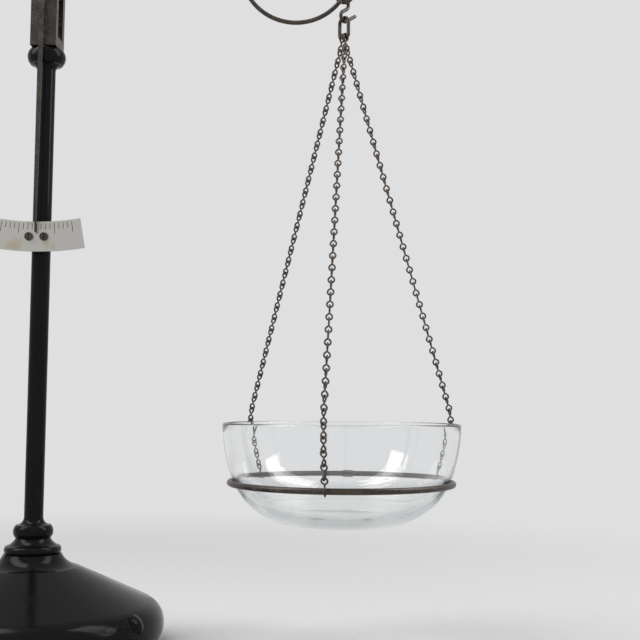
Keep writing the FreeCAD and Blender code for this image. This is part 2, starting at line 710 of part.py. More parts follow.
def make_beam(knife):
    """Tapering arms with a hump, a dip and an eye each, fused to the boss that holds the knife edge."""
    dip_radius = value("dip_radius")
    hump_radius = value("hump_radius")
    dip_angle = HALF_TURN + QUARTER - value("neck_angle")
    arm_angle = QUARTER + value("arm_rise_angle")
    eye = FreeCAD.Vector(value("arm_length"), 0, value("eye_height"))
    above = value("dip_radius - dip_depth")
    dip = eye + FreeCAD.Vector(-math.sqrt(dip_radius ** 2 - above ** 2), 0, above)
    hump = polar(dip, ALONG, UP, dip_radius + hump_radius, dip_angle)
    shoulder = polar(hump, ALONG, UP, hump_radius, arm_angle)
    root_x = value("hub_radius / 2")
    rise = math.tan(math.radians(value("arm_rise_angle"))) * (shoulder.x - root_x)
    root = FreeCAD.Vector(root_x, 0, shoulder.z - rise)
    eye_angle = TURN - math.degrees(math.asin(above / dip_radius))
    eye_reach = math.degrees(2 * math.asin(value("eye_radius") / 2 / dip_radius))
    half_end = value("end_rod / 2")
    tapered = [
        straight(root, shoulder),
        bend(hump, ALONG, UP, hump_radius, arm_angle, dip_angle - HALF_TURN),
    ]
    curved = bend(dip, ALONG, UP, dip_radius, dip_angle, eye_angle - eye_reach)
    eye_ring = Part.makeTorus(value("eye_radius"), value("eye_rod / 2"), eye, BACK)
    arm = rod(tapered, value("root_rod / 2"), half_end).fuse(rod([curved], half_end)).fuse(eye_ring)
    other_arm = arm.copy()
    other_arm.rotate(FreeCAD.Vector(), UP, HALF_TURN)
    thickness = value("hub_thickness")
    hub_middle = FreeCAD.Vector(0, -thickness / 2, value(f"{KNIFE_Z} + hub_lift"))
    hub = Part.makeCylinder(value("hub_radius"), thickness, hub_middle, BACK)
    doc.recompute()
    holder = doc.addObject("Part::Feature", "beam_rod")
    holder.Shape = hub.fuse(arm).fuse(other_arm).cut(knife.Shape)
    keep(holder, "beam")


# Hook and suspension ring, hung plumb under an eye
LOOP_Z = "(eye_height - eye_radius + eye_rod / 2 + hook_wire / 2 + hook_seat - hook_loop)"
BEND_Z = f"({LOOP_Z} - hook_drop)"
RING_TOP = f"({BEND_Z} - hook_bend + hook_wire / 2 + ring_wire / 2 + hang_gap)"
RING_BOTTOM = f"({RING_TOP} - ring_height)"
RING_HALF = "(chain_reach + link_wire / 2)"
RIM_Z = f"({RING_BOTTOM} - chain_drop)"


def hang(label, shape, turn):
    """Keep a shape drawn about its own hanging line, put under the eye on one side."""
    holder = doc.addObject("Part::Feature", label)
    holder.Shape = shape
    spin = FreeCAD.Rotation(UP, turn)
    holder.Placement = FreeCAD.Placement(spin.multVec(ALONG * value("arm_length")), spin)
    return keep(holder, label)


def in_hook_plane(level):
    """A level direction turned as the hook is: along its plane or square to it."""
    return FreeCAD.Rotation(UP, value("hook_angle")).multVec(level)


def make_hook(side, turn):
    """Wire hook: a loop over the eye, a slanting shank, a bend for the ring and a flared tip."""
    level = in_hook_plane(ALONG)
    loop_radius = value("hook_loop")
    bend_radius = value("hook_bend")
    loop = UP * value(LOOP_Z)
    lower = UP * value(BEND_Z)
    lean = math.degrees(math.asin((loop_radius + bend_radius) / value("hook_drop")))
    tail_angle = HALF_TURN + value("hook_tail_angle")
    tip_angle = TURN - QUARTER + value("hook_tip_angle")
    shank_start = polar(loop, level, UP, loop_radius, -lean)
    shank_end = polar(lower, level, UP, bend_radius, HALF_TURN - lean)
    tip_start = polar(lower, level, UP, bend_radius, tip_angle)
    tip_end = polar(tip_start, level, UP, value("hook_tip"), value("hook_tip_angle"))
    path = [
        bend(loop, level, UP, loop_radius, tail_angle, -lean),
        straight(shank_start, shank_end),
        bend(lower, level, UP, bend_radius, HALF_TURN - lean, tip_angle),
        straight(tip_start, tip_end),
    ]
    hang(f"{side}_hook", rod(path, value("hook_wire / 2")), turn)


def make_suspension_ring(side, turn):
    """Oval wire ring with a straight bottom for the chains."""
    square = in_hook_plane(BACK)
    half = value(RING_HALF)
    corner = value("ring_corner")
    top_radius = half + corner
    bottom = UP * value(RING_BOTTOM)
    crown = UP * (value(RING_TOP) - top_radius)
    left_corner = bottom + UP * corner - square * half
    right_corner = bottom + UP * corner + square * half
    path = [
        straight(bottom - square * half, bottom + square * half),
        bend(right_corner, square, UP, corner, -QUARTER, 0),
        straight(right_corner + square * corner, crown + square * top_radius),
        bend(crown, square, UP, top_radius, 0, HALF_TURN),
        straight(crown - square * top_radius, left_corner - square * corner),
        bend(left_corner, square, UP, corner, HALF_TURN, TURN - QUARTER),
    ]
    hang(f"{side}_suspension_ring", rod(path, value("ring_wire / 2")), turn)


# Bowl in its ring
BOWL_FLAT = "(bowl_radius - bowl_inset)"
CURVE_DEPTH = "(bowl_depth - bowl_curve)"
INNER_DEPTH = "(bowl_depth - bowl_bottom - bowl_inner_curve)"
INNER_FLAT = f"({BOWL_FLAT} + bowl_curve - bowl_wall - bowl_inner_curve)"
RIM_ROUND = "(bowl_wall / 2)"
INNER_RIM = "(bowl_radius - bowl_wall)"
PAN_RING_R = "(bowl_radius - ring_inset)"
SEAT = "(bowl_curve + pan_wire / 2 + seat_gap)"
PAN_RING_DEPTH = f"({CURVE_DEPTH} + sqrt({SEAT}^2 - (bowl_inset - ring_inset)^2))"
PAN_RING_Z = f"({RIM_Z} - {PAN_RING_DEPTH})"


def wall_lean(rim, middle, depth, curve, wall):
    """Lean of a curved wall from the rim, where it runs smoothly into a tighter curve."""
    across = f"({rim} - {middle})"
    down = f"({depth} - {RIM_ROUND})"
    reach = f"sqrt({across}^2 + {down}^2)"
    part_way = f"(({wall}^2 - {reach}^2 - ({wall} - {curve})^2) / (2 * ({wall} - {curve}) * {reach}))"
    return f"(acos({part_way}) - atan({down} / {across}))"


INNER_WALL = "(wall_curve - bowl_wall)"
OUTER_LEAN = wall_lean("bowl_radius", BOWL_FLAT, CURVE_DEPTH, "bowl_curve", "wall_curve")
INNER_LEAN = wall_lean(INNER_RIM, INNER_FLAT, INNER_DEPTH, "bowl_inner_curve", INNER_WALL)
WALL_MIDDLE_R = f"({BOWL_FLAT} - (wall_curve - bowl_curve) * cos{OUTER_LEAN})"
WALL_MIDDLE_DEPTH = f"({CURVE_DEPTH} - (wall_curve - bowl_curve) * sin{OUTER_LEAN})"


def wall_radius(depth):
    """Outside of the bowl's wall at a depth below the rim."""
    return f"({WALL_MIDDLE_R} + sqrt(wall_curve^2 - ({depth} - {WALL_MIDDLE_DEPTH})^2))"


def make_bowl(side, turn):
    """Glass bowl, thick at the bottom, with a rounded rim."""
    body = lathe(f"{side}_bowl_glass", [
        ("0", "-bowl_depth"),
        (BOWL_FLAT, "-bowl_depth", "bowl_curve", 1),
        (f"{BOWL_FLAT} + bowl_curve * cos{OUTER_LEAN}",
         f"-{CURVE_DEPTH} - bowl_curve * sin{OUTER_LEAN}", "wall_curve", 1),
        ("bowl_radius", f"-{RIM_ROUND}", RIM_ROUND, 1),
        (f"bowl_radius - {RIM_ROUND}", "0", RIM_ROUND, 1),
        (INNER_RIM, f"-{RIM_ROUND}", INNER_WALL, -1),
        (f"{INNER_FLAT} + bowl_inner_curve * cos{INNER_LEAN}",
         f"-{INNER_DEPTH} - bowl_inner_curve * sin{INNER_LEAN}", "bowl_inner_curve", -1),
        (INNER_FLAT, "bowl_bottom - bowl_depth"),
        ("0", "bowl_bottom - bowl_depth"),
    ])
    place(body, along="arm_length" if side == "right" else "-arm_length", height=RIM_Z, turn=turn)
    keep(body, f"{side}_bowl")


def make_pan_ring(side, turn):
    """Round wire ring that the end links hang from the chains."""
    ring = doc.addObject("Part::Torus", f"{side}_ring_wire")
    ring.setExpression("Radius1", bound(PAN_RING_R))
    ring.setExpression("Radius2", bound("pan_wire / 2"))
    place(ring, along="arm_length" if side == "right" else "-arm_length", height=PAN_RING_Z, turn=turn)
    keep(ring, f"{side}_pan_ring")


# Chains of wire links, each link two open loops square to each other
LINK_REACH = "((link_wire + hang_gap) / 2)"
LINK_LOOP = "(link_pitch * loop_share)"
LINK_HALF = f"({LINK_LOOP} + link_wire / 2)"
TOP_REACH = "((ring_wire + link_wire) / 2 + hang_gap)"
TOP_LOOP = "(ring_wire / 2 + top_play + link_wire / 2)"
END_LOOP = "((pan_wire + link_wire) / 2 + wrap_gap)"


def make_link(length, upper_loop, upper_reach, lower_loop, lower_reach, hook_end=None):
    """Link down the first axis: upper loop in the plane of the second, lower loop in that of the third.

    A loop is a pear: round, with straight sides to the neck, its wire's end beside the neck. Where a
    hook's end is given, the lower loop stops at that angle and stays an open hook.
    """
    neck = value("link_pitch * neck_share")
    throat = value("throat_angle")
    spread = QUARTER - throat
    down = TURN - QUARTER
    apex_share = 1 / math.sin(math.radians(throat))
    corner = neck * math.tan(math.radians(throat / 2))
    tip = value("link_wire / 2 + tip_gap") / math.sin(math.radians(2 * throat))
    upper = ALONG * (upper_loop - upper_reach)
    lower = ALONG * (length + lower_reach - lower_loop)
    upper_apex = upper + ALONG * (upper_loop * apex_share)
    lower_apex = lower - ALONG * (lower_loop * apex_share)
    neck_start = upper_apex + ALONG * corner
    neck_end = lower_apex - ALONG * corner
    upper_sides = [polar(upper, ALONG, BACK, upper_loop, angle) for angle in (-spread, spread)]
    lower_sides = [polar(lower, ALONG, UP, lower_loop, HALF_TURN + angle) for angle in (-spread, spread)]
    path = [
        straight(towards(upper_apex, upper_sides[0], tip), upper_sides[0]),
        bend(upper, ALONG, BACK, upper_loop, TURN - spread, spread),
        straight(upper_sides[1], towards(upper_apex, upper_sides[1], corner)),
        bend(neck_start + BACK * neck, ALONG, BACK, neck, down - throat, down),
        straight(neck_start, neck_end),
        bend(neck_end + UP * neck, ALONG, UP, neck, down, down + throat),
        straight(towards(lower_apex, lower_sides[0], corner), lower_sides[0]),
    ]
    if hook_end is None:
        path.append(bend(lower, ALONG, UP, lower_loop, HALF_TURN - spread, spread - HALF_TURN))
        path.append(straight(lower_sides[1], towards(lower_apex, lower_sides[1], tip)))
    else:
        path.append(bend(lower, ALONG, UP, lower_loop, HALF_TURN - spread, hook_end))
    return rod(path, value("link_wire / 2"))


def outward(azimuth):
    """Level directions out from the hanging line and round it; azimuth 0 is the front."""
    turn = FreeCAD.Rotation(UP, azimuth)
    return turn.multVec(-BACK), turn.multVec(ALONG)


def link_frame(start, along, across):
    """Placement that lays a link's first axis along one direction and its second across it."""
    third = along.cross(across)
    matrix = FreeCAD.Matrix(
        along.x, across.x, third.x, start.x,
        along.y, across.y, third.y, start.y,
        along.z, across.z, third.z, start.z,
        0, 0, 0, 1,
    )
    return FreeCAD.Placement(matrix)


def direction(start, end):
    """Direction from one point to another."""
    run = end - start
    run.normalize()
    return run


def towards(start, end, distance):
    """Point at a distance from one point towards another."""
    return start + direction(start, end) * distance


def twist_left(number, share):
    """Share of a chain's twist that is still to come, a share of the way down."""
    power = CHAIN_TWIST_POWERS[number]
    below = (1 - TWIST_REST) ** power
    return (below - (share - TWIST_REST) ** power) / (below + TWIST_REST ** power)


def make_chain(side, turn, number):
    """Chain from the suspension ring over the rim of the bowl to the pan ring."""
    square = in_hook_plane(BACK)
    out, around = outward(value("chain_angle") + number * TURN / CHAINS_PER_PAN)
    reach = value(LINK_REACH)
    loop = value(LINK_LOOP)
    on_ring = ("-chain_reach", "chain_pair - chain_reach", "chain_reach")[number]
    wire_spot = UP * value(RING_BOTTOM) + square * value(on_ring)
    rim = out * value(f"bowl_radius + {LINK_HALF} + rim_gap") + UP * value(f"{RIM_Z} + bend_rise")
    wall_reach = value(f"{wall_radius('bend_drop')} + {LINK_HALF} + wall_gap")
    wall = out * wall_reach + UP * value(f"{RIM_Z} - bend_drop")
    ring = out * value(PAN_RING_R) + UP * value(PAN_RING_Z)
    first_run = rim - wire_spot
    first_run = first_run - square * (first_run.dot(square) * TOP_LEAN_SHARE)
    first_run.normalize()
    top_end = wire_spot + first_run * value("top_link")
    last_run = -polar(FreeCAD.Vector(), UP, out, 1, value("end_lean_angle"))
    end_start = ring - last_run * value("end_link")

    across_top = square.cross(first_run)
    across_top.normalize()
    top = make_link(value("top_link"), value(TOP_LOOP), value(TOP_REACH), loop, reach)
    links = [(top, link_frame(wire_spot, first_run, across_top))]
    over_rim = direction(top_end, rim) + direction(rim, wall)
    over_rim.normalize()
    over_start = rim - over_rim * value("link_pitch")
    spans = []
    for start, end in ((top_end, over_start), (over_start, rim), (rim, wall), (wall, end_start)):
        count = max(round((end - start).Length / value("link_pitch")), 1)
        step = (end - start) * (1.0 / count)
        size = loop * min(step.Length / value("link_pitch"), 1)
        shape = make_link(step.Length, size, reach, size, reach)
        spans += [(shape, start + step * index, step) for index in range(count)]
    along = direction(top_end, over_start)
    twist = math.degrees(math.atan2(across_top.dot(along.cross(around)), across_top.dot(around)))
    twist = (twist + QUARTER) % HALF_TURN - QUARTER
    twist -= math.copysign(CHAIN_HALF_TURNS[number] * HALF_TURN, twist)
    for index, (shape, start, step) in enumerate(spans):
        along = step * (1.0 / step.Length)
        share = (index + 1) / (len(spans) + 1)
        spin = FreeCAD.Rotation(along, twist * twist_left(number, share))
        links.append((shape, link_frame(start, along, spin.multVec(around))))
    end_loop = value(END_LOOP)
    end = make_link(value("end_link"), loop, reach, end_loop, end_loop, -value("end_hook_angle"))
    links.append((end, link_frame(end_start, last_run, around)))

    solids = []
    for shape, placement in links:
        copy = shape.copy()
        copy.Placement = placement.multiply(copy.Placement)
        solids.append(copy)
    hang(f"{side}_chain_{number + 1}", Part.makeCompound(solids), turn)


make_base()
make_studs()
make_collar()
make_column()
make_column_fixings()
make_fork()
make_bearing_plates()
make_index_clamp()
make_index_plate()
make_index_screws()
make_beam(make_knife())
make_pointer()
for side, turn in SIDES.items():
    make_hook(side, turn)
    make_suspension_ring(side, turn)
    for number in range(CHAINS_PER_PAN):
        make_chain(side, turn, number)
    make_pan_ring(side, turn)
    make_bowl(side, turn)
doc.recompute()

for piece in doc.Objects:
    if "Invalid" in piece.State or "Error" in piece.State:
        raise RuntimeError(f"{piece.Label} failed: {piece.State}")
for piece in pieces:
    if piece.Shape.isNull() or not piece.Shape.isValid():
        raise RuntimeError(f"{piece.Label} has no valid shape")

os.makedirs("parts", exist_ok=True)
for piece in pieces:
    piece.Shape.exportStep(f"parts/{piece.Label}.step")
    print(piece.Label, len(piece.Shape.Solids), round(piece.Shape.Volume, 1))
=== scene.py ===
import math
import bpy
import bmesh
from mathutils import Matrix, Vector


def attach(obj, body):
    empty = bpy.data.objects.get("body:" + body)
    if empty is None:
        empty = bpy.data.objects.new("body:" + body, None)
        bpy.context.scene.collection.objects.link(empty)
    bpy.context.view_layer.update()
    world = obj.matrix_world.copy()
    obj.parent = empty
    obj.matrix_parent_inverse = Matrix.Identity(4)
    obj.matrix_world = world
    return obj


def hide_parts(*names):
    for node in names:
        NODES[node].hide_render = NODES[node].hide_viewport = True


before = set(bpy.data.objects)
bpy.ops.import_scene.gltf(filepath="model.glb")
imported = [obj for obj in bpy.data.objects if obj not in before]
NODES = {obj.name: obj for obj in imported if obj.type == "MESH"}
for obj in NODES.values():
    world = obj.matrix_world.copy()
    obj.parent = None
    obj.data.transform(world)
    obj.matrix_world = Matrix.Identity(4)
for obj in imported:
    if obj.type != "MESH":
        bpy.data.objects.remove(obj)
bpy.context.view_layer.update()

MM = 0.001
TURN = 360.0
HALF_TURN = 180.0
QUARTER = 90.0
ALONG = Vector((1, 0, 0))
BACK = Vector((0, 1, 0))
UP = Vector((0, 0, 1))
SIDES = {"right": 1, "left": -1}

# Sizes of the part in millimetres and degrees
ARM = 163.0
KNIFE_Z = 357.5
RING_BOTTOM_Z = 331.15
RIM_Z = 119.95
RING_WIRE = 2.0
HOOK_ANGLE = 50.0
LINK_WIRE = 0.95
LINK_PITCH = 6.6
LOOP_SHARE = 0.232
NECK_SHARE = 0.091
LINK_LOOP = LINK_PITCH * LOOP_SHARE
LINK_NECK = LINK_PITCH * NECK_SHARE
LINK_THROAT = 50.0
HANG_GAP = 0.1
TOP_PLAY = 0.5
TOP_LINK = 7.4
TOP_LEAN_SHARE = 0.5
END_LINK = 6.6
END_LEAN = 24.0
END_HOOK = 14.0
CHAIN_ANGLE = -8.7
CHAIN_HALF_TURNS = (1, 0, 0)
CHAIN_TWIST_POWERS = (3, 1, 1)
TWIST_REST = 0.41
CHAINS_PER_PAN = len(CHAIN_HALF_TURNS)
CHAIN_SPOTS = (-1.35, -0.15, 1.35)
BEND_RISE = 0.8
BEND_DROP = 12.4
RIM_GAP = 0.25
WALL_GAP = 0.9
PAN_WIRE = 3.2
WRAP_GAP = 0.2
BOWL_R = 63.5
BOWL_DEPTH = 53.7
BOWL_WALL = 2.2
BOWL_BOTTOM = 5.0
BOWL_CURVE = 38.3
WALL_CURVE = 90.0
BOWL_FLAT = 22.4
BOWL_INNER_CURVE = 33.5
PAN_RING_R = 59.1
PAN_RING_Z = 88.391
INDEX_FACE_Y = -10.7
INDEX_INNER_R = 132.0

# Camera and lamps: places in metres, angles in degrees

CAMERA_AT = (0.15101, -0.56947, 0.13015)
CAMERA_PITCH = 4.508
CAMERA_ROLL = 0.45
FOCAL_PIXELS = 1061.6
PICTURE_PIXELS = 640
SENSOR_MM = 36.0
NEAR_CLIP = 0.01
SOFTBOX_SIZE = (0.36, 0.85)
SOFTBOX_WATTS = 4.6
SOFTBOXES = {
    "left_softbox": ((-0.41, -0.17, 0.73), (0.18, 0.05, 0.09)),
    "right_softbox": ((0.77, -0.01, 0.73), (0.14, 0.04, 0.09)),
}


def add_camera():
    """Camera at the photograph's place, a little above the bowl's rim, tipped up."""
    data = bpy.data.cameras.new("camera")
    data.sensor_fit = "HORIZONTAL"
    data.sensor_width = SENSOR_MM
    data.lens = FOCAL_PIXELS * SENSOR_MM / PICTURE_PIXELS
    data.clip_start = NEAR_CLIP
    camera = bpy.data.objects.new("camera", data)
    tip = Matrix.Rotation(math.radians(QUARTER + CAMERA_PITCH), 4, "X")
    roll = Matrix.Rotation(math.radians(CAMERA_ROLL), 4, "Z")
    camera.matrix_world = Matrix.Translation(CAMERA_AT) @ tip @ roll
    bpy.context.collection.objects.link(camera)
    bpy.context.scene.camera = camera


def add_softbox(name, at, aim):
    """Rectangular soft light that looks at a point."""
    data = bpy.data.lights.new(name, "AREA")
    data.shape = "RECTANGLE"
    data.size, data.size_y = SOFTBOX_SIZE
    data.energy = SOFTBOX_WATTS
    lamp = bpy.data.objects.new(name, data)
    turn = (Vector(aim) - Vector(at)).to_track_quat("-Z", "Y").to_matrix().to_4x4()
    lamp.matrix_world = Matrix.Translation(at) @ turn
    bpy.context.collection.objects.link(lamp)


# Shader sums: a wrapped socket takes part in Python expressions

class Value:
    """A node's output that can be added, taken away and multiplied."""

    def __init__(self, finish, socket):
        self.finish = finish
        self.socket = socket

    def sum(self, operation, first, second):
        return self.finish.add("ShaderNodeMath", {"operation": operation}, {0: first, 1: second})

    def __add__(self, other):
        return self.sum("ADD", self, other)

    __radd__ = __add__

    def __sub__(self, other):
        return self.sum("SUBTRACT", self, other)

    def __rsub__(self, other):
        return self.sum("SUBTRACT", other, self)

    def __mul__(self, other):
        return self.sum("MULTIPLY", self, other)

    __rmul__ = __mul__


class Finish:
    """A material whose nodes are added one at a time."""

    def __init__(self, name, tree=None):
        if tree is None:
            self.material = bpy.data.materials.new(name)
            self.material.use_nodes = True
            tree = self.material.node_tree
        self.tree = tree
        self.tree.nodes.clear()

    def add(self, kind, settings=None, sockets=None, out=0):
        """Add a node of a type, set it up, fill or link its sockets and give one of its outputs, if any."""
        node = self.tree.nodes.new(kind)
        for key, setting in (settings or {}).items():
            setattr(node, key, setting)
        for key, given in (sockets or {}).items():
            if isinstance(given, Value):
                self.tree.links.new(given.socket, node.inputs[key])
            else:
                node.inputs[key].default_value = given
        return Value(self, node.outputs[out]) if node.outputs else None

    def place(self):
        """Point on the piece, in the part's own frame."""
        return self.add("ShaderNodeTexCoord", out="Object")

    def stretched(self, at, scale):
        """Point with each axis multiplied."""
        return self.add("ShaderNodeVectorMath", {"operation": "MULTIPLY"}, {0: at, 1: scale})

    def noise(self, at, scale, detail, rough):
        """Cloudy value about one half."""
        sockets = {"Vector": at, "Scale": scale, "Detail": detail, "Roughness": rough}
        return self.add("ShaderNodeTexNoise", None, sockets)

    def step(self, value, low, high):
        """Soft step from 0 at low to 1 at high."""
        sockets = {"Value": value, "From Min": low, "From Max": high}
        return self.add("ShaderNodeMapRange", {"interpolation_type": "SMOOTHSTEP"}, sockets)

    def blend(self, factor, first, second):
        """Colour between two colours."""
        settings = {"data_type": "RGBA", "clamp_factor": True}
        return self.add("ShaderNodeMix", settings, {0: factor, 6: first, 7: second}, 2)

    def bump(self, height, strength, distance):
        """Surface relief from a height."""
        sockets = {"Height": height, "Strength": strength, "Distance": distance}
        return self.add("ShaderNodeBump", None, sockets)

    def close(self, shader, inside=None):
        """Join the shader to the surface, and another to what is inside it."""
        sockets = {"Surface": shader}
        if inside is not None:
            sockets["Volume"] = inside
        self.add("ShaderNodeOutputMaterial", None, sockets)
        return self.material

    def surface(self, sockets, inside=None):
        """End with one principled surface."""
        return self.close(self.add("ShaderNodeBsdfPrincipled", None, sockets), inside)


# Tones of the finishes

STEEL_TONES = ((0.05, 0.047, 0.044), (0.085, 0.062, 0.045), (0.24, 0.22, 0.20))
STEEL_WEAR = 0.51
CHAIN_TONES = ((0.065, 0.057, 0.05), (0.11, 0.076, 0.052), (0.30, 0.265, 0.225))
CHAIN_WEAR = 0.49
BRAZED_TONES = ((0.15, 0.135, 0.11), (0.19, 0.15, 0.10), (0.46, 0.42, 0.34))
BRAZED_WEAR = 0.46
JAPAN_BLACK = (0.006, 0.006, 0.007)
DUST_GREY = (0.12, 0.115, 0.11)
GLASS_CLEAR = (0.98, 0.985, 0.985)
GLASS_TINT = (0.845, 0.87, 0.865)
GLASS_DENSITY = 26.0
GLASS_IOR = 1.52
GROUND_BRIGHT = (0.52, 0.52, 0.51)
GROUND_STAINED = (0.36, 0.33, 0.29)
SILVER_DULL = (0.50, 0.49, 0.46)
BRASS_YELLOW = (0.42, 0.34, 0.19)
WAX_BLACK = (0.012, 0.012, 0.012)
WAX_WORN = (0.09, 0.085, 0.075)
FLOOR_TONES = ((0.72, 0.72, 0.72), (0.75, 0.75, 0.75))
BACKGROUND = (0.74, 0.74, 0.75)
SKY_LIGHT = 0.5
FADE_FROM = 0.2
FADE_TO = 0.75


def tone(colour):
    """Colour socket value."""
    return (*colour, 1.0)


def oxidised_steel(name, tones, wear_from):
    """Old steel: dark oxide in patches, brown bloom between them, rubbed pale on the high grain."""
    dark, brown, worn = [tone(colour) for colour in tones]
    finish = Finish(name)
    at = finish.place()
    patches = finish.noise(at, scale=140.0, detail=5.0, rough=0.6)
    grain = finish.noise(at, scale=1100.0, detail=5.0, rough=0.65)
    pits = finish.noise(at, scale=4200.0, detail=3.0, rough=0.6)
    bloom = finish.step(patches * 0.6 + grain * 0.4, low=0.44, high=0.64)
    rubbed = finish.step(grain * 0.55 + pits * 0.45, low=wear_from, high=wear_from + 0.16)
    colour = finish.blend(bloom, dark, brown)
    colour = finish.blend(rubbed * 0.45, colour, worn)
    return finish.surface({
        "Base Color": colour,
        "Metallic": 0.92 - bloom * 0.35,
        "Roughness": 0.36 + bloom * 0.22 - rubbed * 0.08,
        "Normal": finish.bump(grain * 0.7 + pits * 0.3, strength=0.18, distance=0.0003),
    })


def black_japan(name):
    """Stoved black japan: deep gloss with a slight ripple, fine dust and dulled patches."""
    finish = Finish(name)
    at = finish.place()
    ripple = finish.noise(at, scale=260.0, detail=2.0, rough=0.5)
    haze = finish.noise(at, scale=55.0, detail=5.0, rough=0.6)
    specks = finish.noise(at, scale=5200.0, detail=2.0, rough=0.5)
    dust = finish.step(specks, low=0.70, high=0.76)
    dulled = finish.step(haze, low=0.48, high=0.70)
    return finish.surface({
        "Base Color": finish.blend(dust * 0.5, tone(JAPAN_BLACK), tone(DUST_GREY)),
        "Roughness": 0.13 + dulled * 0.14 + dust * 0.3,
        "Specular IOR Level": 0.08,
        "Coat Weight": 0.03 - dulled * 0.02,
        "Coat Roughness": 0.06,
        "Normal": finish.bump(ripple, strength=0.10, distance=0.0004),
    })


def clear_glass(name):
    """Pressed clear glass with a slow waviness, faint smears and hairline scratches."""
    finish = Finish(name)
    at = finish.place()
    waves = finish.noise(at, scale=28.0, detail=1.0, rough=0.4)
    wiped = finish.noise(finish.stretched(at, (60.0, 60.0, 25.0)), scale=1.0, detail=4.0, rough=0.6)
    smears = finish.step(wiped, low=0.56, high=0.80)
    hairs = finish.noise(finish.stretched(at, (900.0, 900.0, 60.0)), scale=1.0, detail=2.0, rough=0.5)
    scratches = finish.step(hairs, low=0.74, high=0.78)
    tint = {"Color": tone(GLASS_TINT), "Density": GLASS_DENSITY}
    return finish.surface({
        "Base Color": tone(GLASS_CLEAR),
        "Roughness": smears * 0.05 + scratches * 0.12,
        "IOR": GLASS_IOR,
        "Transmission Weight": 1.0,
        "Normal": finish.bump(waves + scratches * 0.02, strength=0.12, distance=0.002),
    }, inside=finish.add("ShaderNodeVolumeAbsorption", None, tint))


def ground_steel(name):
    """Bright ground steel with fine lines."""
    finish = Finish(name)
    at = finish.place()
    lines = finish.noise(finish.stretched(at, (300.0, 9000.0, 300.0)), scale=1.0, detail=3.0, rough=0.6)
    stains = finish.step(finish.noise(at, scale=180.0, detail=4.0, rough=0.6), low=0.5, high=0.72)
    return finish.surface({
        "Base Color": finish.blend(stains, tone(GROUND_BRIGHT), tone(GROUND_STAINED)),
        "Metallic": 1.0,
        "Roughness": 0.22 + lines * 0.16 + stains * 0.12,
        "Normal": finish.bump(lines, strength=0.10, distance=0.0001),
    })


def silvered(name):
    """Silvered brass, dulled, with the yellow showing through in places."""
    finish = Finish(name)
    at = finish.place()
    drawn = finish.noise(finish.stretched(at, (260.0, 260.0, 7000.0)), scale=1.0, detail=3.0, rough=0.6)
    thin = finish.step(finish.noise(at, scale=120.0, detail=5.0, rough=0.6), low=0.52, high=0.72)
    return finish.surface({
        "Base Color": finish.blend(thin * 0.7, tone(SILVER_DULL), tone(BRASS_YELLOW)),
        "Metallic": 0.95,
        "Roughness": 0.30 + drawn * 0.18,
        "Normal": finish.bump(drawn, strength=0.08, distance=0.0001),
    })


def black_wax(name):
    """Black wax in engraved lines, a little worn."""
    finish = Finish(name)
    flakes = finish.noise(finish.place(), scale=1600.0, detail=3.0, rough=0.6)
    lost = finish.step(flakes, low=0.56, high=0.70)
    colour = finish.blend(lost, tone(WAX_BLACK), tone(WAX_WORN))
    return finish.surface({"Base Color": colour, "Roughness": 0.5 + lost * 0.2})


def pale_floor(name):
    """Plain pale floor that runs into the background away from the part."""
    finish = Finish(name)
    at = finish.place()
    mottle = finish.noise(at, scale=6.0, detail=3.0, rough=0.5)
    colour = finish.blend(mottle, *[tone(shade) for shade in FLOOR_TONES])
    near = finish.add("ShaderNodeBsdfDiffuse", None, {"Color": colour})
    far = finish.add("ShaderNodeEmission", None, {"Color": tone(BACKGROUND), "Strength": 1.0})
    away = finish.add("ShaderNodeVectorMath", {"operation": "LENGTH"}, {0: at}, "Value")
    fade = finish.step(away, low=FADE_FROM, high=FADE_TO)
    return finish.close(finish.add("ShaderNodeMixShader", None, {0: fade, 1: near, 2: far}))


def light_world():
    """Even pale surroundings."""
    world = bpy.data.worlds.new("surroundings")
    world.use_nodes = True
    finish = Finish("surroundings", world.node_tree)
    seen = finish.add("ShaderNodeLightPath", out="Is Camera Ray")
    for ray in ("Is Glossy Ray", "Is Transmission Ray"):
        other = finish.add("ShaderNodeLightPath", out=ray)
        seen = finish.add("ShaderNodeMath", {"operation": "MAXIMUM"}, {0: seen, 1: other})
    strength = SKY_LIGHT + seen * (1.0 - SKY_LIGHT)
    shader = finish.add("ShaderNodeBackground", None, {"Color": tone(BACKGROUND), "Strength": strength})
    finish.add("ShaderNodeOutputWorld", None, {"Surface": shader})
    bpy.context.scene.world = world


# Mesh making

def put_in(mesh, material):
    """Object of a mesh in one finish."""
    mesh.materials.append(material)
    piece = bpy.data.objects.new(mesh.name, mesh)
    bpy.context.collection.objects.link(piece)
    return piece


def mesh_piece(name, vertices, faces, material, smooth=True):
    """Mesh object from points in millimetres."""
    mesh = bpy.data.meshes.new(name)
    mesh.from_pydata([Vector(point) * MM for point in vertices], [], faces)
    mesh.validate()
    if smooth:
        mesh.shade_smooth()
    return put_in(mesh, material)


def polar(centre, first, second, radius, angle):
    """Point of a circle in the plane of two directions."""
    turn = math.radians(angle)
    return centre + first * (radius * math.cos(turn)) + second * (radius * math.sin(turn))


def sweep(centre, first, second, radius, start, end, step):
    """Points of an arc between two angles."""
    count = max(int(abs(end - start) / step + 0.5), 2)
    angles = [start + (end - start) * k / count for k in range(count + 1)]
    return [polar(centre, first, second, radius, angle) for angle in angles]


WIRE_SIDES = 12
LOOP_STEP = 14.0
NECK_STEP = 30.0
TIP_SHARE = 0.82
SAME_POINT = 1e-4


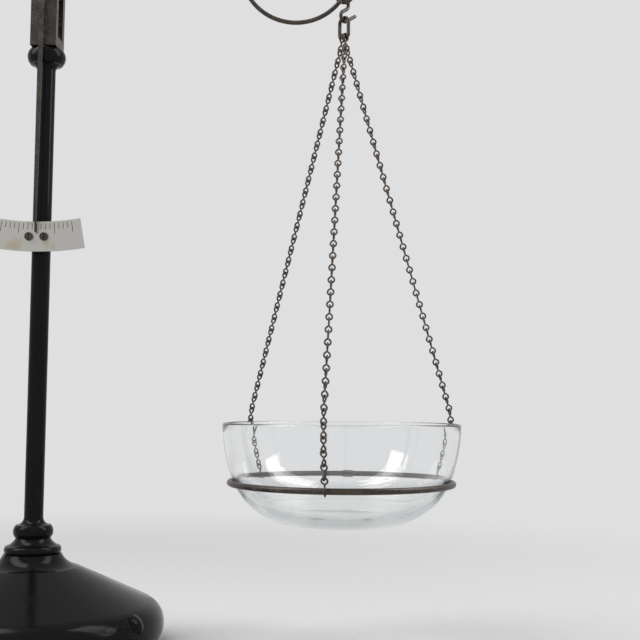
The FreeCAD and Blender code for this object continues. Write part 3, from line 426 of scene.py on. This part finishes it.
def tube(path, radius, frame_matrix, vertices, faces):
    """Round wire along a path, its ends a little rounded, added to a mesh's lists."""
    points = [path[0]]
    for point in path[1:]:
        if (point - points[-1]).length > SAME_POINT:
            points.append(point)
    tangents = []
    for index in range(len(points)):
        before = points[max(index - 1, 0)]
        after = points[min(index + 1, len(points) - 1)]
        tangents.append((after - before).normalized())
    normal = tangents[0].orthogonal().normalized()
    rings = []
    for point, tangent in zip(points, tangents):
        normal = (normal - tangent * normal.dot(tangent)).normalized()
        side = tangent.cross(normal)
        rings.append((point, normal.copy(), side, radius))
    tip = radius * (1 - TIP_SHARE)
    first, last = rings[0], rings[-1]
    inset = [(first[0], first[1], first[2], radius * TIP_SHARE)]
    rings[0] = (first[0] + tangents[0] * tip, first[1], first[2], radius)
    rings[-1] = (last[0] - tangents[-1] * tip, last[1], last[2], radius)
    rings = inset + rings + [(last[0], last[1], last[2], radius * TIP_SHARE)]
    start = len(vertices)
    for point, normal, side, reach in rings:
        for k in range(WIRE_SIDES):
            spot = polar(point, normal, side, reach, TURN * k / WIRE_SIDES)
            vertices.append(frame_matrix @ spot)
    for ring in range(len(rings) - 1):
        low = start + ring * WIRE_SIDES
        for k in range(WIRE_SIDES):
            following = (k + 1) % WIRE_SIDES
            faces.append((low + k, low + following, low + WIRE_SIDES + following, low + WIRE_SIDES + k))
    faces.append(tuple(start + k for k in reversed(range(WIRE_SIDES))))
    end = start + (len(rings) - 1) * WIRE_SIDES
    faces.append(tuple(end + k for k in range(WIRE_SIDES)))


# Sizes that follow from the others

LINK_REACH = (LINK_WIRE + HANG_GAP) / 2
LINK_HALF = LINK_LOOP + LINK_WIRE / 2
TOP_REACH = (RING_WIRE + LINK_WIRE) / 2 + HANG_GAP
TOP_LOOP = RING_WIRE / 2 + TOP_PLAY + LINK_WIRE / 2
END_LOOP = (PAN_WIRE + LINK_WIRE) / 2 + WRAP_GAP
TIP_BACK = LINK_WIRE / 2 / math.sin(math.radians(2 * LINK_THROAT))
APEX_SHARE = 1 / math.sin(math.radians(LINK_THROAT))
NECK_CORNER = LINK_NECK * math.tan(math.radians(LINK_THROAT / 2))
RIM_ROUND = BOWL_WALL / 2
CURVE_DEPTH = BOWL_DEPTH - BOWL_CURVE
INNER_DEPTH = BOWL_DEPTH - BOWL_BOTTOM - BOWL_INNER_CURVE
INNER_FLAT = BOWL_FLAT + BOWL_CURVE - BOWL_WALL - BOWL_INNER_CURVE
INNER_WALL_CURVE = WALL_CURVE - BOWL_WALL


def wall_arc(rim, middle, depth, curve, wall):
    """Middle of a wall's curve below the rim, with its angles at the tighter curve and at the rim."""
    across = rim - middle
    down = depth - RIM_ROUND
    reach = math.hypot(across, down)
    inside = wall - curve
    corner = math.acos((wall ** 2 - reach ** 2 - inside ** 2) / (2 * inside * reach))
    lean = corner - math.atan2(down, across)
    centre = Vector((middle - inside * math.cos(lean), 0, inside * math.sin(lean) - depth))
    rim_angle = math.atan2(-RIM_ROUND - centre.z, rim - centre.x)
    return centre, -math.degrees(lean), math.degrees(rim_angle)


OUTER_WALL = wall_arc(BOWL_R, BOWL_FLAT, CURVE_DEPTH, BOWL_CURVE, WALL_CURVE)
INNER_WALL = wall_arc(BOWL_R - BOWL_WALL, INNER_FLAT, INNER_DEPTH, BOWL_INNER_CURVE, INNER_WALL_CURVE)


# Chains of open wire links

def towards(start, end, distance):
    """Point at a distance from one point towards another."""
    return start + (end - start).normalized() * distance


def link_path(length, upper_loop, upper_reach, lower_loop, lower_reach, hook_end=None):
    """Centre line of a link down the first axis: two pear loops square to each other, or a hook below."""
    spread = QUARTER - LINK_THROAT
    bottom = TURN - QUARTER
    upper = ALONG * (upper_loop - upper_reach)
    lower = ALONG * (length + lower_reach - lower_loop)
    upper_apex = upper + ALONG * (upper_loop * APEX_SHARE)
    lower_apex = lower - ALONG * (lower_loop * APEX_SHARE)
    neck_start = upper_apex + ALONG * NECK_CORNER
    neck_end = lower_apex - ALONG * NECK_CORNER
    path = [towards(upper_apex, polar(upper, ALONG, BACK, upper_loop, -spread), TIP_BACK)]
    path += sweep(upper, ALONG, BACK, upper_loop, TURN - spread, spread, LOOP_STEP)
    bend = neck_start + BACK * LINK_NECK
    path += sweep(bend, ALONG, BACK, LINK_NECK, bottom - LINK_THROAT, bottom, NECK_STEP)
    bend = neck_end + UP * LINK_NECK
    path += sweep(bend, ALONG, UP, LINK_NECK, bottom, bottom + LINK_THROAT, NECK_STEP)
    if hook_end is not None:
        return path + sweep(lower, ALONG, UP, lower_loop, HALF_TURN - spread, hook_end, LOOP_STEP)
    path += sweep(lower, ALONG, UP, lower_loop, HALF_TURN - spread, spread - HALF_TURN, LOOP_STEP)
    return path + [towards(lower_apex, polar(lower, ALONG, UP, lower_loop, HALF_TURN + spread), TIP_BACK)]


def twist_left(number, share):
    """Share of a chain's twist that is still to come, a share of the way down."""
    power = CHAIN_TWIST_POWERS[number]
    below = (1 - TWIST_REST) ** power
    return (below - (share - TWIST_REST) ** power) / (below + TWIST_REST ** power)


def link_frame(start, along, across):
    """Matrix that lays a link's first axis along one direction and its second across it."""
    third = along.cross(across)
    rows = [(along[k], across[k], third[k], start[k]) for k in range(3)]
    return Matrix(rows + [(0, 0, 0, 1)])


def chain_links(number):
    """Paths and frames of one chain's links, about the hanging line of its pan."""
    square = Matrix.Rotation(math.radians(HOOK_ANGLE), 3, "Z") @ BACK
    spin = Matrix.Rotation(math.radians(CHAIN_ANGLE + number * TURN / CHAINS_PER_PAN), 3, "Z")
    out = spin @ -BACK
    around = spin @ ALONG
    wire_spot = UP * RING_BOTTOM_Z + square * CHAIN_SPOTS[number]
    rim = out * (BOWL_R + LINK_HALF + RIM_GAP) + UP * (RIM_Z + BEND_RISE)
    wall_middle = OUTER_WALL[0]
    wall_r = wall_middle.x + math.sqrt(WALL_CURVE ** 2 - (BEND_DROP + wall_middle.z) ** 2)
    wall = out * (wall_r + LINK_HALF + WALL_GAP) + UP * (RIM_Z - BEND_DROP)
    ring = out * PAN_RING_R + UP * PAN_RING_Z
    first_run = rim - wire_spot
    first_run = (first_run - square * (first_run.dot(square) * TOP_LEAN_SHARE)).normalized()
    top_end = wire_spot + first_run * TOP_LINK
    last_run = -polar(Vector((0, 0, 0)), UP, out, 1, END_LEAN)
    end_start = ring - last_run * END_LINK
    across_top = square.cross(first_run).normalized()
    path = link_path(TOP_LINK, TOP_LOOP, TOP_REACH, LINK_LOOP, LINK_REACH)
    links = [(path, link_frame(wire_spot, first_run, across_top))]
    over_rim = ((rim - top_end).normalized() + (wall - rim).normalized()).normalized()
    over_start = rim - over_rim * LINK_PITCH
    spans = []
    for start, end in ((top_end, over_start), (over_start, rim), (rim, wall), (wall, end_start)):
        count = max(round((end - start).length / LINK_PITCH), 1)
        step = (end - start) / count
        loop = LINK_LOOP * min(step.length / LINK_PITCH, 1)
        path = link_path(step.length, loop, LINK_REACH, loop, LINK_REACH)
        spans += [(path, start + step * index, step.normalized()) for index in range(count)]
    along = (over_start - top_end).normalized()
    twist = math.degrees(math.atan2(across_top.dot(along.cross(around)), across_top.dot(around)))
    twist = (twist + QUARTER) % HALF_TURN - QUARTER
    twist -= math.copysign(CHAIN_HALF_TURNS[number] * HALF_TURN, twist)
    for index, (path, start, along) in enumerate(spans):
        share = (index + 1) / (len(spans) + 1)
        across = Matrix.Rotation(math.radians(twist * twist_left(number, share)), 3, along) @ around
        links.append((path, link_frame(start, along, across)))
    path = link_path(END_LINK, LINK_LOOP, LINK_REACH, END_LOOP, END_LOOP, -END_HOOK)
    links.append((path, link_frame(end_start, last_run, around)))
    return links


def hanging(side):
    """Matrix from a pan's hanging line to its end of the beam."""
    return Matrix.Rotation(0 if SIDES[side] > 0 else math.pi, 4, "Z") @ Matrix.Translation(ALONG * ARM)


def add_chain(side, number, material):
    """One chain as separate wire links."""
    vertices, faces = [], []
    for path, frame_matrix in chain_links(number):
        tube(path, LINK_WIRE / 2, hanging(side) @ frame_matrix, vertices, faces)
    piece = mesh_piece(f"{side}_chain_{number + 1}_links", vertices, faces, material)
    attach(piece, f"{side}_pan")
    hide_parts(f"{side}_chain_{number + 1}")


# Brazed joints of the pan rings

JOINT_ANGLE = 85.0
JOINT_LENGTH = 6.2
JOINT_RADIUS = 2.2
JOINT_OUT = 0.62
JOINT_DOWN = 0.1
JOINT_STEP = 1.0


def add_ring_joint(side, material):
    """Swelling of the ring's wire where its two ends are brazed together, clear of the bowl."""
    half = math.degrees(JOINT_LENGTH / 2 / PAN_RING_R)
    middle = UP * (PAN_RING_Z - JOINT_DOWN)
    start, end = JOINT_ANGLE - half, JOINT_ANGLE + half
    path = sweep(middle, ALONG, BACK, PAN_RING_R + JOINT_OUT, start, end, JOINT_STEP)
    vertices, faces = [], []
    tube(path, JOINT_RADIUS, hanging(side), vertices, faces)
    piece = mesh_piece(f"{side}_ring_joint", vertices, faces, material)
    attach(piece, f"{side}_pan")


# Glass bowls: light runs round inside the thick bottom many times before it leaves

GLASS_BOUNCES = 32
BOWL_SEGMENTS = 192
CURVE_STEP = 3.0
RIM_STEP = 15.0


def bowl_profile():
    """Radius and depth round the glass, from the middle of the underside to the middle of the inside."""
    outer_middle, outer_lean, outer_rim = OUTER_WALL
    inner_middle, inner_lean, inner_rim = INNER_WALL
    outer_turn = Vector((BOWL_FLAT, 0, -CURVE_DEPTH))
    inner_turn = Vector((INNER_FLAT, 0, -INNER_DEPTH))
    rim_middle = Vector((BOWL_R - RIM_ROUND, 0, -RIM_ROUND))
    path = [Vector((0, 0, -BOWL_DEPTH)), Vector((BOWL_FLAT / 2, 0, -BOWL_DEPTH))]
    path += sweep(outer_turn, ALONG, UP, BOWL_CURVE, -QUARTER, outer_lean, CURVE_STEP)
    path += sweep(outer_middle, ALONG, UP, WALL_CURVE, outer_lean, outer_rim, CURVE_STEP)[1:-1]
    path += sweep(rim_middle, ALONG, UP, RIM_ROUND, 0, HALF_TURN, RIM_STEP)
    path += sweep(inner_middle, ALONG, UP, INNER_WALL_CURVE, inner_rim, inner_lean, CURVE_STEP)[1:-1]
    path += sweep(inner_turn, ALONG, UP, BOWL_INNER_CURVE, inner_lean, -QUARTER, CURVE_STEP)
    inside_floor = BOWL_BOTTOM - BOWL_DEPTH
    return path + [Vector((INNER_FLAT / 2, 0, inside_floor)), Vector((0, 0, inside_floor))]


def add_bowl(side, material):
    """Bowl turned from its profile."""
    middle = Vector((SIDES[side] * ARM, 0, RIM_Z))
    profile = bowl_profile()
    vertices, faces = [middle + profile[0]], []
    for point in profile[1:-1]:
        for k in range(BOWL_SEGMENTS):
            vertices.append(middle + polar(UP * point.z, ALONG, BACK, point.x, TURN * k / BOWL_SEGMENTS))
    vertices.append(middle + profile[-1])
    last = len(vertices) - 1
    rings = len(profile) - 2
    for k in range(BOWL_SEGMENTS):
        following = (k + 1) % BOWL_SEGMENTS
        faces.append((0, 1 + following, 1 + k))
        for ring in range(rings - 1):
            low = 1 + ring * BOWL_SEGMENTS
            high = low + BOWL_SEGMENTS
            faces.append((low + k, low + following, high + following, high + k))
        top = 1 + (rings - 1) * BOWL_SEGMENTS
        faces.append((top + k, top + following, last))
    piece = mesh_piece(f"{side}_bowl_glass", vertices, faces, material)
    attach(piece, f"{side}_bowl")
    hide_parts(f"{side}_bowl")


# Index plate's divisions

MARK_STEP = 1.0
MARK_LAST = 8
MARK_LONG_EVERY = 4
MARK_SHORT_MM = 3.2
MARK_LONG_MM = 5.6
MARK_WIDTH_MM = 0.28
MARK_MIDDLE_SHARE = 1.5
MARK_RAISED_MM = 0.05
MARK_FROM_EDGE_MM = 1.0


def add_index_marks(material):
    """Thin radial divisions on the index plate, longer at the middle and the ends."""
    mesh_tool = bmesh.new()
    for number in range(-MARK_LAST, MARK_LAST + 1):
        long = number % MARK_LONG_EVERY == 0
        length = MARK_LONG_MM if long else MARK_SHORT_MM
        width = MARK_WIDTH_MM * (MARK_MIDDLE_SHARE if number == 0 else 1.0)
        box = bmesh.ops.create_cube(mesh_tool, size=1.0)["verts"]
        size = Matrix.Diagonal((width * MM, MARK_RAISED_MM * MM, length * MM, 1))
        radius = INDEX_INNER_R + MARK_FROM_EDGE_MM + length / 2
        swing = Matrix.Rotation(math.radians(number * MARK_STEP), 4, "Y")
        down = Matrix.Translation((0, (INDEX_FACE_Y - MARK_RAISED_MM / 2) * MM, -radius * MM))
        knife = Matrix.Translation((0, 0, KNIFE_Z * MM))
        bmesh.ops.transform(mesh_tool, matrix=knife @ swing @ down @ size, verts=box)
    mesh = bpy.data.meshes.new("index_marks")
    mesh_tool.to_mesh(mesh)
    mesh_tool.free()
    piece = put_in(mesh, material)
    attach(piece, "stand")


FLOOR_HALF_MM = 4000.0


def add_floor():
    """Wide flat floor under the part."""
    corners = [(-FLOOR_HALF_MM, -FLOOR_HALF_MM, 0), (FLOOR_HALF_MM, -FLOOR_HALF_MM, 0),
               (FLOOR_HALF_MM, FLOOR_HALF_MM, 0), (-FLOOR_HALF_MM, FLOOR_HALF_MM, 0)]
    floor = mesh_piece("floor", corners, [(0, 1, 2, 3)], pale_floor("pale_floor"), smooth=False)


def paint(material, *names):
    """Give CAD pieces a finish."""
    for name in names:
        mesh = NODES[name].data
        mesh.materials.clear()
        mesh.materials.append(material)


# The scene put together

add_camera()
light_world()
for name, (at, aim) in SOFTBOXES.items():
    add_softbox(name, at, aim)

steel = oxidised_steel("oxidised_steel", STEEL_TONES, STEEL_WEAR)
chain_steel = oxidised_steel("oxidised_chain", CHAIN_TONES, CHAIN_WEAR)
brazed = oxidised_steel("brazed_joint", BRAZED_TONES, BRAZED_WEAR)
japan = black_japan("black_japan")
glass = clear_glass("clear_glass")
bright = ground_steel("ground_steel")
silver = silvered("silvered_plate")
wax = black_wax("black_wax")

paint(japan, "base", "base_studs", "column_collar", "column")
paint(steel, "fork", "fork_nut", "index_clamp", "index_screws", "clamp_screw")
paint(steel, "beam", "pointer", "pointer_nut")
paint(bright, "column_washer", "column_nut", "bearing_plates", "knife_edge")
paint(silver, "index_plate")
for side in SIDES:
    paint(steel, f"{side}_hook", f"{side}_suspension_ring", f"{side}_pan_ring")
    for number in range(CHAINS_PER_PAN):
        add_chain(side, number, chain_steel)
    add_ring_joint(side, brazed)
    add_bowl(side, glass)
add_index_marks(wax)
add_floor()

bpy.context.scene.view_settings.view_transform = "Standard"
for kind in ("max_bounces", "glossy_bounces", "transmission_bounces"):
    setattr(bpy.context.scene.cycles, kind, GLASS_BOUNCES)
